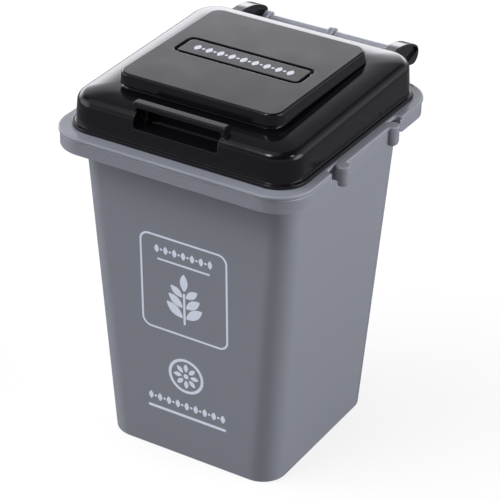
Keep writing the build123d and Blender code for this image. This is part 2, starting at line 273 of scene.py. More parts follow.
def solid(rows, ring=False):
    """Closed mesh over a grid of rows of loops: each row is joined to the next by quads.

    The first and last rows are closed by flat faces, or to each other in a ring. Faces are
    turned round where the volume, the sum of x . (y cross z) over the faces, is negative.
    """
    count, size = rows.shape[:2]
    points = rows.reshape(-1, 3) * METRE
    row = np.arange(count if ring else count - 1)[:, None] * size
    column = np.arange(size)[None, :]
    after = (column + 1) % size
    up = (row + size) % (count * size)
    quads = np.stack([row + column, row + after, up + after, up + column], axis=-1).reshape(-1, 4)
    corner = points[quads]
    volume = np.sum(corner[:, 0] * np.cross(corner[:, 1], corner[:, 2]))
    volume += np.sum(corner[:, 0] * np.cross(corner[:, 2], corner[:, 3]))
    faces = quads.tolist()
    if not ring:
        ends = [np.arange(size)[::-1], (count - 1) * size + np.arange(size)]
        for end in ends:
            cap = points[end]
            volume += np.sum(cap[0] * np.cross(cap[1:-1], cap[2:]))
            faces.append(end.tolist())
    if volume < 0:
        faces = [face[::-1] for face in faces]
    mesh = bpy.data.meshes.new("solid")
    mesh.from_pydata(points.tolist(), [], faces)
    return mesh


def slab(outline, low, high, edge=0.0, turn=upright, steps=4):
    """Plate of an outline from low to high, both its edges rounded.

    At angle t of a rounded edge the loop is inset by edge * (1 - sin t), and its height is
    edge * (1 - cos t) inside the face.
    """
    if edge == 0:
        return solid(turn(np.stack([outline, outline]), np.array([[low], [high]])))
    t = np.radians(np.linspace(0, 90, steps + 1))
    drawn_in = edge * (1 - np.sin(t))
    inside = edge * (1 - np.cos(t))
    loops = [inset(outline, value) for value in [*drawn_in, *drawn_in[::-1]]]
    heights = np.concatenate([low + inside, (high - inside)[::-1]])
    return solid(turn(np.stack(loops), heights[:, None]))


def rod(radius, low, high, middle, turn=upright, edge=0.0, around=40):
    """Round bar from low to high, its end edges rounded."""
    return slab(arc(middle, radius, 0, 360, around)[:-1], low, high, edge, turn)


def brick(low, high):
    """Plain block from its lowest to its highest corner, for cutting."""
    x0, y0, z0 = low
    x1, y1, z1 = high
    return slab(np.array([(x0, y0), (x1, y0), (x1, y1), (x0, y1)], float), z0, z1)


def mirrored(mesh):
    """The mesh on the other side of the plane X = 0, with its faces still outwards."""
    copy = mesh.copy()
    points = np.empty(len(copy.vertices) * 3, np.float32)
    copy.vertices.foreach_get("co", points)
    points[0::3] *= -1
    copy.vertices.foreach_set("co", points)
    copy.flip_normals()
    return copy


def carve(base, steps):
    """The base solid after each (operation, solid) step, UNION or DIFFERENCE, in order."""
    work = bpy.data.objects.new("work", base)
    bpy.context.scene.collection.objects.link(work)
    tools = []
    for operation, mesh in steps:
        tool = bpy.data.objects.new("tool", mesh)
        bpy.context.scene.collection.objects.link(tool)
        tools.append(tool)
        modifier = work.modifiers.new("step", "BOOLEAN")
        modifier.operation = operation
        modifier.solver = "MANIFOLD"
        modifier.object = tool
    graph = bpy.context.evaluated_depsgraph_get()
    made = bpy.data.meshes.new_from_object(work.evaluated_get(graph))
    for extra in [work, *tools]:
        bpy.data.objects.remove(extra)
    return made


def join(*meshes):
    """Several separate solids as one mesh."""
    points, faces, start = [], [], 0
    for mesh in meshes:
        flat = np.empty(len(mesh.vertices) * 3, np.float32)
        mesh.vertices.foreach_get("co", flat)
        points.append(flat.reshape(-1, 3))
        faces += [[start + index for index in face.vertices] for face in mesh.polygons]
        start += len(mesh.vertices)
    made = bpy.data.meshes.new("joined")
    made.from_pydata(np.vstack(points).tolist(), [], faces)
    return made


def piece(name, mesh, material, body, node=None, sharp=32.0):
    """Finished object of a mesh: smooth but for edges sharper than the angle, riding on a body."""
    mesh.name = name
    made = bpy.data.objects.new(name, mesh)
    bpy.context.scene.collection.objects.link(made)
    mesh.materials.clear()
    mesh.materials.append(material)
    mesh.polygons.foreach_set("material_index", np.zeros(len(mesh.polygons), np.int32))
    mesh.polygons.foreach_set("use_smooth", np.ones(len(mesh.polygons), bool))
    mesh.set_sharp_from_angle(angle=math.radians(sharp))
    weighted = made.modifiers.new("even_normals", "WEIGHTED_NORMAL")
    weighted.keep_sharp = True
    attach(made, body)
    if node:
        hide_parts(node)
    return made


# ---- the bin ----------------------------------------------------------------------------

def bin_form(drawn_in, heights, foot_round=0.0):
    """Tapered form with its loops at the heights: size = base + (mouth - base) * z / rim top.

    The foot's edge is drawn in further, by r * (1 - sin t) at height r * (1 - cos t).
    """
    t = np.radians(np.linspace(0, 90, 5))
    start = heights[0]
    z = np.concatenate([start + foot_round * (1 - np.cos(t)), heights[1:]])
    extra = np.concatenate([foot_round * (1 - np.sin(t)), np.zeros(len(heights) - 1)])
    share = z / RIM_TOP
    width, depth, corner = (low + (high - low) * share for low, high in zip(BASE, MOUTH))
    shrink = drawn_in + extra
    loops = rounded_rectangle(width - 2 * shrink, depth - 2 * shrink, corner - shrink)
    return solid(upright(loops, z[:, None]))


def rim_outline():
    """Outline of the rim's plate, out round the lugs and into the notches.

    One quarter is made of straight runs and arcs; the other three are its mirror images.
    """
    edge_x, edge_y, corner = RIM[0] / 2, RIM[1] / 2, RIM[2]
    lug_x, lug_y, radius = LUG
    floor_x = edge_x - NOTCH_DEPTH
    out = -math.degrees(math.acos((edge_x - lug_x) / radius))
    back = math.degrees(math.acos((floor_x - lug_x) / radius))
    quarter = tidy(
        np.linspace((edge_x, 0), (edge_x, lug_y - radius - 0.4), 4),
        arc((lug_x, lug_y), radius, out, back, 28),
        (floor_x, NOTCH_OUTER - NOTCH_ROUND - 1.5),
        arc((floor_x + NOTCH_ROUND, NOTCH_OUTER - NOTCH_ROUND), NOTCH_ROUND, 180, 90, 8),
        arc((edge_x - NOTCH_LEAD, NOTCH_OUTER + NOTCH_LEAD), NOTCH_LEAD, -90, 0, 8),
        arc((edge_x - corner, edge_y - corner), corner, 0, 90, 24),
        np.linspace((edge_x - corner - 1, edge_y), (0, edge_y), 4),
    )
    half = np.vstack([quarter, (quarter * (-1, 1))[::-1]])
    return tidy(half, -half)


def skirt_profile(wall):
    """Section of the skirt as (inset, z): a strip with rounded lower edges and shoulder."""
    edge = 0.25
    top = RIM_TOP - RIM_PLATE / 2
    drawn_in = SKIRT_INSET + SKIRT_SHOULDER
    shoulder_z = RIM_TOP - RIM_PLATE - SKIRT_SHOULDER
    shoulder = arc((drawn_in, shoulder_z), SKIRT_SHOULDER, 90, 180, 5)
    outer = arc((SKIRT_INSET + edge, SKIRT_FOOT + edge), edge, 180, 270, 4)
    inner = arc((SKIRT_INSET + wall - edge, SKIRT_FOOT + edge), edge, 270, 360, 4)
    return tidy((drawn_in, top), shoulder, outer, inner, (SKIRT_INSET + wall, top))


def skirt_strip(path, rounded_ends):
    """The skirt's section carried along a path of points on the rim's outline.

    A point of the section lies inset along the path's inward normal. Within the end radius r
    of an end, at distance s from it, the foot rises by r - sqrt(r^2 - (r - s)^2).
    """
    section = skirt_profile(SKIRT_WALL)
    step = np.gradient(path, axis=0)
    step = step / np.linalg.norm(step, axis=1, keepdims=True)
    normal = np.column_stack([-step[:, 1], step[:, 0]])
    run = np.concatenate([[0], np.cumsum(np.linalg.norm(np.diff(path, axis=0), axis=1))])
    near = np.clip(SKIRT_END - np.minimum(run, run[-1] - run), 0, SKIRT_END)
    rise = SKIRT_END - np.sqrt(SKIRT_END**2 - near**2) if rounded_ends else 0 * run
    top = section[:, 1].max()
    share = (top - section[:, 1]) / (top - SKIRT_FOOT)
    place = path[:, None, :] + normal[:, None, :] * section[None, :, :1]
    height = section[None, :, 1] + rise[:, None] * share[None, :]
    return solid(np.concatenate([place, height[..., None]], axis=-1))


def end_skirt(end):
    """The skirt round the front or the back, from notch to notch."""
    edge_x, edge_y, corner = RIM[0] / 2, RIM[1] / 2, RIM[2]
    start = NOTCH_OUTER + SKIRT_END * (1 - np.cos(np.radians(np.linspace(6, 90, 10))))
    side = np.column_stack([np.full(10, edge_x), start])
    round_corner = arc((edge_x - corner, edge_y - corner), corner, 0, 90, 24)
    half = np.vstack([side, round_corner])
    path = np.vstack([half, (half * (-1, 1))[::-1]])
    return skirt_strip(path * end, True)


def side_skirt(side):
    """The short skirt between the two lugs of one side."""
    edge_x = RIM[0] / 2
    path = np.linspace((edge_x, -NOTCH_INNER), (edge_x, NOTCH_INNER), 3)
    return skirt_strip(path * side, False)


def skirt_end(side, end):
    """Wall that closes the far skirt's end beside a notch, its lower corner a quarter round."""
    top = RIM_TOP - RIM_PLATE / 2
    stop = 180 + math.degrees(math.acos((SKIRT_END - SKIRT_WALL) / SKIRT_END))
    corner = arc((NOTCH_OUTER + SKIRT_END, SKIRT_FOOT + SKIRT_END), SKIRT_END, 180, stop, 8)
    outline = tidy((NOTCH_OUTER + SKIRT_WALL, top), (NOTCH_OUTER, top), corner)
    outer_x = RIM[0] / 2 - SKIRT_INSET - SKIRT_WALL / 2
    low, high = sorted((side * (MOUTH[0] / 2 - WALL_BITE), side * outer_x))
    return slab(outline * (end, 1), low, high, turn=sideways)


def lug_steps(side, end):
    """One lug's post with its rounded toe, cut free of the skirt low down, and its web."""
    lug_x, lug_y, radius = LUG
    foot = SKIRT_FOOT - LUG_DROP
    t = np.radians(np.linspace(0, 90, 7))
    neck = radius - LUG_NECK
    radii = np.append(neck - LUG_TOE * (1 - np.sin(t)), neck)
    z = np.append(foot + LUG_TOE * (1 - np.cos(t)), RIM_TOP - RIM_PLATE / 2)
    circle = arc((0, 0), 1.0, 0, 360, 40)[:-1]
    loops = circle[None] * radii[:, None, None] + (side * lug_x, end * lug_y)
    post = solid(upright(loops, z[:, None]))
    inner, outer = sorted((side * (lug_x - LUG_TOE_REACH), side * (lug_x - 2 * radius)))
    reach = (end * lug_y - radius, end * lug_y + radius)
    free = brick((inner, reach[0], foot - 1), (outer, reach[1], SKIRT_FOOT + LUG_TOE_RISE))
    inner, outer = sorted((side * (MOUTH[0] / 2 - WALL_BITE), side * lug_x))
    near, far = sorted((end * (NOTCH_INNER - LUG_WEB), end * NOTCH_INNER))
    web = brick((inner, near, SKIRT_FOOT), (outer, far, RIM_TOP - RIM_PLATE / 2))
    return [("UNION", carve(post, [("DIFFERENCE", free)])), ("UNION", web)]


def bracket(x):
    """Gusset plate from the back wall to its eye: two tangents to the eye and four corners."""
    foot_y = (BASE[1] + (MOUTH[1] - BASE[1]) * BRACKET_FOOT / RIM_TOP) / 2
    foot_y -= GUSSET_BITE
    top_z = RIM_TOP - RIM_BEAD
    outline = tidy(
        arc(HINGE, EYE_RADIUS, GUSSET_LEAN - 90, GUSSET_LEAN + 90, 26),
        (RIM[1] / 2 - SKIRT_INSET, top_z),
        (MOUTH[1] / 2 - GUSSET_BITE, top_z),
        (foot_y, BRACKET_FOOT),
    )
    half = EYE_THICKNESS / 2
    return slab(outline, x - half, x + half, GUSSET_EDGE, sideways)


def make_bin(material):
    """The grey moulding: tapered walls, rim plate with bead, skirts, lugs and brackets."""
    form = bin_form(0.0, np.array([0.0, RIM_TOP - RIM_PLATE / 2]), FOOT_ROUND)
    plate = slab(rim_outline(), RIM_TOP - RIM_PLATE, RIM_TOP, RIM_BEAD, steps=6)
    steps = [("UNION", plate), ("UNION", end_skirt(1)), ("UNION", end_skirt(-1))]
    for side in (-1, 1):
        steps.append(("UNION", side_skirt(side)))
        for end in (-1, 1):
            steps.append(("UNION", skirt_end(side, end)))
            steps += lug_steps(side, end)
    steps.append(("DIFFERENCE", bin_form(WALL, np.array([FLOOR, RIM_TOP + 1]), INNER_ROUND)))
    for number in (-1, 0, 1):
        inside = bin_form(WALL - 0.3, np.array([FLOOR, RIM_TOP + 1]))
        plate = carve(bracket(number * EYE_SPACING), [("DIFFERENCE", inside)])
        steps.append(("UNION", plate))
    reach = EYE_SPACING + EYE_THICKNESS
    steps.append(("DIFFERENCE", rod(BORE_RADIUS, -reach, reach, HINGE, sideways)))
    return piece("bin_moulding", carve(form, steps), material, "bin", "bin_body")


def make_rod(material):
    """The hinge bar through the eyes, its end edges rounded."""
    half = ARM_INNER_X + SOCKET_DEPTH - ROD_END_GAP
    mesh = rod(ROD_RADIUS, -half, half, HINGE, sideways, 0.3, 64)
    return piece("hinge_bar", mesh, material, "bin", "hinge_rod")


# ---- the lid ------------------------------------------------------------------------------

def lid_profile(rows):
    """Loops from rows of (width, depth, corner, middle y, z, tilt).

    Each point's height is z plus tilt times the lid's slope times its distance from the front.
    """
    width, depth, corner, middle, z, tilt = np.array(rows, float).T
    loops = rounded_rectangle(width, depth, corner)
    loops[..., 1] += middle[:, None]
    height = z[:, None] + tilt[:, None] * LID_SLOPE * (loops[..., 1] - LID_FRONT_Y)
    return np.concatenate([loops, height[..., None]], axis=-1)


def drafted(z, drawn_in=0.0):
    """Width, depth and corner of the lid's skirt at height z above the rim."""
    lean = z * math.tan(math.radians(DRAFT)) + drawn_in
    corner = LIP[2] - LIP_STEP + (LID_TOP_CORNER + LIP_STEP - LIP[2]) * z / LID_REAR_TOP
    shrink = LIP_STEP + lean
    return LIP[0] - 2 * shrink, LIP[1] - 2 * shrink, corner - drawn_in


def plinth_size(grow):
    """Width, depth and corner of the plinth, larger all round by the growth."""
    shift = 2 * (CAP_FLARE - PLINTH_INSET + grow)
    return CAP[0] + shift, CAP[1] + shift, CAP[2] + shift / 2


def lid_rows():
    """Rows of the lid's outside, from the lip up and over the shoulder to the plinth's top.

    The lip and its step are quarter circles. The skirt is straight. The shoulder is an arc
    from the draft angle to the crown's angle. On its way s = 0..1 to the plinth the crown
    lies slope * s * (1 - s)^2 + rise * s^2 * (3 - 2 * s) above the shoulder's end, so it
    leaves it at the crown's angle and ends level. The plinth's foot is a hollow quarter circle.
    """
    rows = [(*LIP, LID_MID_Y, RIM_TOP, 0)]
    for t in np.radians(np.linspace(0, 90, 5)):
        shrink = LIP_ROUND * (1 - math.cos(t))
        size = (LIP[0] - 2 * shrink, LIP[1] - 2 * shrink, LIP[2] - shrink)
        rows.append((*size, LID_MID_Y, RIM_TOP + LIP_HEIGHT - LIP_ROUND * (1 - math.sin(t)), 0))
    for t in np.radians(np.linspace(0, 90, 4)):
        width, depth, corner = drafted(LIP_HEIGHT + LIP_ROUND * (1 - math.cos(t)))
        grow = LIP_ROUND * (1 - math.sin(t))
        size = (width + 2 * grow, depth + 2 * grow, corner + grow)
        rows.append((*size, LID_MID_Y, RIM_TOP + LIP_HEIGHT + LIP_ROUND * (1 - math.cos(t)), 0))
    bend = LID_FRONT_TOP - SHOULDER
    for share in np.linspace(0.25, 1, 4):
        z = LIP_HEIGHT + LIP_ROUND + (bend - LIP_HEIGHT - LIP_ROUND) * share
        rows.append((*drafted(z), LID_MID_Y, RIM_TOP + z, share))
    for t in np.radians(np.linspace(DRAFT, 90 - CROWN_EDGE, 19))[1:]:
        size = drafted(bend, SHOULDER * (math.cos(math.radians(DRAFT)) - math.cos(t)))
        rows.append((*size, LID_MID_Y, RIM_TOP + bend + SHOULDER * math.sin(t), 1))
    start = np.array(rows[-1])
    end = np.array([*plinth_size(PLINTH_FILLET), CAP_MID_Y, start[4] + CROWN_RISE, 1])
    slope = CROWN_REACH * math.tan(math.radians(CROWN_EDGE))
    for share in np.linspace(0, 1, 13)[1:]:
        row = start + (end - start) * share
        lift = slope * share * (1 - share) ** 2 + CROWN_RISE * share**2 * (3 - 2 * share)
        row[4] = start[4] + lift
        rows.append(tuple(row))
    foot = rows[-1][4]
    for t in np.radians(np.linspace(0, 90, 7))[1:]:
        size = plinth_size(PLINTH_FILLET * (1 - math.sin(t)))
        z = foot + PLINTH_FILLET * (1 - math.cos(t))
        rows.append((*size, CAP_MID_Y, z, 1 - t / math.pi))
    rows.append((*plinth_size(0), CAP_MID_Y, CAP_FOOT, 0))
    return rows


def lid_inside():
    """Room under the lid: the skirt, shoulder and top one wall in, and the plinth's room."""
    rows = [(*drafted(0, LID_WALL), LID_MID_Y, RIM_TOP - 1, 0)]
    radius = SHOULDER - LID_WALL
    bend = LID_FRONT_TOP - SHOULDER
    for t in np.radians(np.linspace(0, 90, 7)):
        size = drafted(bend, LID_WALL + radius * (1 - math.cos(t)))
        rows.append((*size, LID_MID_Y, RIM_TOP + bend + radius * math.sin(t), 1))
    room = solid(lid_profile(rows))
    plinth = solid(
        lid_profile(
            [
                (*plinth_size(-LID_WALL), CAP_MID_Y, RIM_TOP + 2, 0),
                (*plinth_size(-LID_WALL), CAP_MID_Y, CAP_FOOT - LID_WALL, 0),
            ]
        )
    )
    return carve(room, [("UNION", plinth), ("DIFFERENCE", recess(RECESS_WALL))])


def recess(grow=0.0):
    """Finger pocket for cutting: a block with rounded corners and a rounded floor edge."""
    back = RECESS_BACK_Y + grow
    t = np.radians(np.linspace(0, 90, 5))
    z = np.append(RECESS_FLOOR - grow + RECESS_EDGE * (1 - np.cos(t)), RECESS_FLOOR + 12)
    shrink = np.append(RECESS_EDGE * (1 - np.sin(t)), 0)
    width = RECESS_WIDTH + 2 * grow - 2 * shrink
    corner = RECESS_CORNER + grow - shrink * 0.9
    loops = rounded_rectangle(width, RECESS_LENGTH - 2 * shrink, corner)
    loops[..., 1] += back - RECESS_LENGTH / 2
    return solid(upright(loops, z[:, None]))


def grip_parts():
    """The grip bar and its two posts, each a rounded section carried along X."""
    middle = (GRIP_FRONT_Y + GRIP_DEPTH / 2, GRIP_TOP - GRIP_THICK / 2)
    bar = rounded_rectangle(GRIP_DEPTH, GRIP_THICK, GRIP_ROUND, middle, 2, 8)
    reach = RECESS_WIDTH / 2 + GRIP_POST
    height = GRIP_TOP - RECESS_FLOOR
    middle = (middle[0], RECESS_FLOOR + height / 2)
    post = rounded_rectangle(GRIP_DEPTH, height, GRIP_ROUND, middle, 2, 8)
    parts = [slab(bar, -reach, reach, 0.45, sideways)]
    for side in (-1, 1):
        low, high = sorted((side * (reach - GRIP_POST), side * reach))
        parts.append(slab(post, low, high, 0.3, sideways))
    return parts


def arm_outline(border=0.0):
    """Arm seen from the side: round rear end, tangent arch to the crest, and straight root.

    The arch's radius r makes it touch the rear end's circle e from outside:
    r = (run^2 + fall^2 - e^2) / (2 * (fall - e)).
    """
    crest_y, crest_z = ARM_CREST[0], ARM_CREST[1] - border
    middle_y, middle_z = HINGE[0], HINGE[1] + ARM_END_RISE
    end = ARM_END - border
    run, fall = middle_y - crest_y, crest_z - middle_z
    arch = (run**2 + fall**2 - end**2) / (2 * (fall - end))
    touch = math.degrees(math.atan2(middle_z - (crest_z - arch), run))
    return tidy(
        (ARM_ROOT[0] + border, ARM_ROOT[1] + border),
        arc((middle_y, middle_z), end, -110, touch, 30),
        arc((crest_y, crest_z - arch), arch, touch, 90, 24),
        (ARM_ROOT[0] + border, crest_z),
    )


def make_arm():
    """The right arm: a rounded plate with a pan in its outer face, above a sloping edge."""
    outer = ARM_INNER_X + ARM_THICK
    arm = slab(arm_outline(), ARM_INNER_X, outer, ARM_EDGE, sideways)
    pan = slab(arm_outline(ARM_BORDER), outer - ARM_PAN, outer + 1, 0.0, sideways)
    slope = math.radians(ARM_PAN_SLOPE)
    along = np.array([math.cos(slope), math.sin(slope)]) * 20
    down = np.array([math.sin(slope), -math.cos(slope)]) * 20
    start = np.array([HINGE[0], HINGE[1] + ARM_PAN_FOOT])
    lower = np.stack([start - along, start - along + down, start + along + down, start + along])
    below = slab(lower, outer - 2, outer + 2, 0.0, sideways)
    return carve(arm, [("DIFFERENCE", carve(pan, [("DIFFERENCE", below)]))])


def peg_places():
    """X and Y of the cap's four pegs."""
    reach_x, reach_y = CAP[0] / 2 - PEG_INSET, CAP[1] / 2 - PEG_INSET
    return [(sx * reach_x, CAP_MID_Y + sy * reach_y) for sx in (-1, 1) for sy in (-1, 1)]


def make_lid(material):
    """The black lid: its form with the arms, hollowed, with the recess cut and the grip set in."""
    form = solid(lid_profile(lid_rows()))
    arm = make_arm()
    steps = [("UNION", arm), ("UNION", mirrored(arm)), ("DIFFERENCE", lid_inside())]
    steps.append(("DIFFERENCE", recess()))
    steps += [("UNION", part) for part in grip_parts()]
    reach = ARM_INNER_X + SOCKET_DEPTH
    steps.append(("DIFFERENCE", rod(BORE_RADIUS, -reach, reach, HINGE, sideways)))
    for place in peg_places():
        hole = rod(PEG_RADIUS + PEG_CLEARANCE, CAP_FOOT - 2 * LID_WALL, CAP_FOOT + 1, place)
        steps.append(("DIFFERENCE", hole))
    return piece("lid_moulding", carve(form, steps), material, "lid", "lid_shell")


def cap_size(z):
    """Width, depth and corner of the cap at height z: it narrows evenly from foot to top."""
    grow = CAP_FLARE * (CAP_TOP - z) / CAP_HEIGHT
    return CAP[0] + 2 * grow, CAP[1] + 2 * grow, CAP[2] + grow


def make_cap(material):
    """The raised top panel, with rounded foot and top edges, a plate pocket and four pegs."""
    rows = []
    for t in np.radians(np.linspace(0, 90, 5)):
        z = CAP_FOOT + CAP_FOOT_ROUND * (1 - math.cos(t))
        width, depth, corner = cap_size(z)
        shrink = CAP_FOOT_ROUND * (1 - math.sin(t))
        rows.append((width - 2 * shrink, depth - 2 * shrink, corner - shrink, CAP_MID_Y, z, 0))
    for t in np.radians(np.linspace(0, 90, 9)):
        z = CAP_TOP - CAP_TOP_ROUND * (1 - math.sin(t))
        width, depth, corner = cap_size(z)
        shrink = CAP_TOP_ROUND * (1 - math.cos(t))
        rows.append((width - 2 * shrink, depth - 2 * shrink, corner - shrink, CAP_MID_Y, z, 0))
    form = solid(lid_profile(rows))
    under = CAP_TOP - PLATE_DEEP - CAP_WALL
    hollow = solid(
        lid_profile(
            [
                (*plinth_size(-CAP_WALL), CAP_MID_Y, CAP_FOOT - 1, 0),
                (*plinth_size(-CAP_WALL), CAP_MID_Y, under, 0),
            ]
        )
    )
    pocket_rows = [
        (0, CAP_TOP - PLATE_DEEP),
        (0, CAP_TOP - POCKET_LEAD),
        (2 * POCKET_LEAD, CAP_TOP + POCKET_LEAD),
    ]
    pocket = solid(
        lid_profile(
            [
                (
                    PLATE[0] + 2 * (GROOVE + grow),
                    PLATE[1] + 2 * (GROOVE + grow),
                    PLATE[2] + GROOVE + grow,
                    PLATE_MID_Y,
                    z,
                    0,
                )
                for grow, z in pocket_rows
            ]
        )
    )
    steps = [("DIFFERENCE", hollow), ("DIFFERENCE", pocket)]
    for place in peg_places():
        steps.append(("UNION", rod(PEG_RADIUS, CAP_FOOT - LID_WALL, under + 0.3, place, edge=0.3)))
    return piece("lid_top_panel", carve(form, steps), material, "lid", "lid_cap")


def make_plate(material):
    """The long plate in the cap's pocket, with a softened edge."""
    outline = rounded_rectangle(*PLATE, (0, PLATE_MID_Y), 4, 8)
    mesh = slab(outline, CAP_TOP - PLATE_DEEP, CAP_TOP - PLATE_SINK, PLATE_EDGE)
    return piece("long_plate", mesh, material, "lid", "name_plate")


# ---- printed marks ----------------------------------------------------------------------

def on_front_wall(loops, heights):
    """(x, z) points laid on the leaning front wall, each row standing off it by its height."""
    lean = (MOUTH[1] - BASE[1]) / 2 / RIM_TOP
    y = -(BASE[1] / 2 + lean * loops[..., 1]) - heights
    return np.stack([loops[..., 0], y, loops[..., 1]], axis=-1)


def on_plate(loops, heights):
    """(x, y) points laid on the long plate, each row standing off it by its height."""
    return upright(loops, CAP_TOP - PLATE_SINK + heights)


def mark(outline, place):
    """Filled mark: a film of ink over the outline."""
    return solid(place(np.stack([outline, outline]), np.array([[-INK_SINK], [INK_THICK]])))


def stroke(outline, width, place):
    """Line of ink of that width just inside a closed outline."""
    inner = inset(outline, width)
    loops = np.stack([inner, outline, outline, inner])
    heights = np.array([-INK_SINK, -INK_SINK, INK_THICK, INK_THICK])
    return solid(place(loops, heights[:, None]), True)


def leaf(root, length, width, angle):
    """Leaf shape: half width = width / 2 * sin(pi * s) ** 0.8 at the share s of its length."""
    share = np.linspace(0, 1, 15)
    half = width / 2 * np.sin(np.pi * share) ** 0.8
    edge = np.column_stack([share * length, -half])
    outline = tidy(edge, (edge * (1, -1))[::-1][1:-1])
    turn = math.radians(angle)
    spin = np.array([(math.cos(turn), math.sin(turn)), (-math.sin(turn), math.cos(turn))])
    return outline @ spin + root


def bar(middle, width, height):
    """Bar with round ends, upright or level."""
    corner = min(width, height) / 2 - 0.01
    return rounded_rectangle(width, height, corner, middle, 1, 6)


def dot(middle, radius):
    """Round dot."""
    return arc(middle, radius, 0, 360, 24)[:-1]


def motif_row(middle, length, height, count):
    """Row of upright pointed leaves with a dot between each two, as outlines."""
    spacing = length / count
    places = middle[0] - length / 2 + spacing * (np.arange(count) + 0.5)
    foot = middle[1] - height / 2
    marks = [leaf((x, foot), height, spacing * 0.5, 90) for x in places]
    marks += [dot((x + spacing / 2, middle[1]), spacing * 0.13) for x in places[:-1]]
    return marks


def sprig(foot):
    """Sprig: a stem with pairs of leaves that get shorter upwards, and one leaf at its tip."""
    x, z = foot
    marks = [bar((x, z + 5.2), 0.7, 10.4)]
    for number in range(3):
        length = 6.6 - 0.9 * number
        height = z + 2.2 + 3.4 * number
        for angle in (38, 142):
            lean = math.copysign(0.55, 90 - angle)
            marks.append(leaf((x + lean, height), length, 2.9 - 0.3 * number, angle))
    marks.append(leaf((x, z + 11.0), 5.6, 2.5, 90))
    return marks


def rosette(middle, petals=8):
    """Flower of even petals round a dot, to stand inside a ring."""
    marks = [dot(middle, ROSETTE_RADIUS * 0.14)]
    for angle in np.arange(petals) * 360 / petals:
        turn = math.radians(angle)
        root = np.array([math.cos(turn), math.sin(turn)]) * ROSETTE_RADIUS * 0.24 + middle
        marks.append(leaf(root, ROSETTE_RADIUS * 0.48, ROSETTE_RADIUS * 0.25, angle))
    return marks


def make_front_print(material):
    """Pale print on the front wall: a framed sprig, a rosette in a ring, and a border row."""
    width, height, corner = PRINT_FRAME
    frame_line = rounded_rectangle(width, height, corner, (0, PRINT_FRAME_Z), 4, 12)
    outlines = motif_row((0, PRINT_ROW_Z), 20.0, 2.6, 7)
    outlines.append(bar((0, PRINT_RULE_Z), 17.0, 0.6))
    outlines += sprig((0, SPRIG_FOOT_Z))
    outlines += rosette((0, ROSETTE_Z))
    outlines += motif_row((0, FOOT_ROW_Z), 27.0, 2.7, 9)
    outlines.append(bar((0, FOOT_RULE_Z), 26.0, 0.9))
    marks = [mark(outline, on_front_wall) for outline in outlines]
    marks.append(stroke(frame_line, PRINT_LINE, on_front_wall))
    marks.append(stroke(dot((0, ROSETTE_Z), ROSETTE_RADIUS), 0.9, on_front_wall))
    return piece("front_print", join(*marks), material, "bin")


def make_plate_print(material):
    """Pale row of motifs along the lid's plate."""
    outlines = motif_row((0, PLATE_MID_Y), 33.0, 3.2, 9)
    return piece("plate_print", join(*(mark(line, on_plate) for line in outlines)), material, "lid")


# ---- materials --------------------------------------------------------------------------

def node(tree, kind, **settings):
    """New shader node with its settings; a key of the form input_N sets that input's value."""
    made = tree.nodes.new(kind)
    for key, value in settings.items():
        if key.startswith("input_"):
            made.inputs[int(key[6:])].default_value = value
        else:
            setattr(made, key, value)
    return made


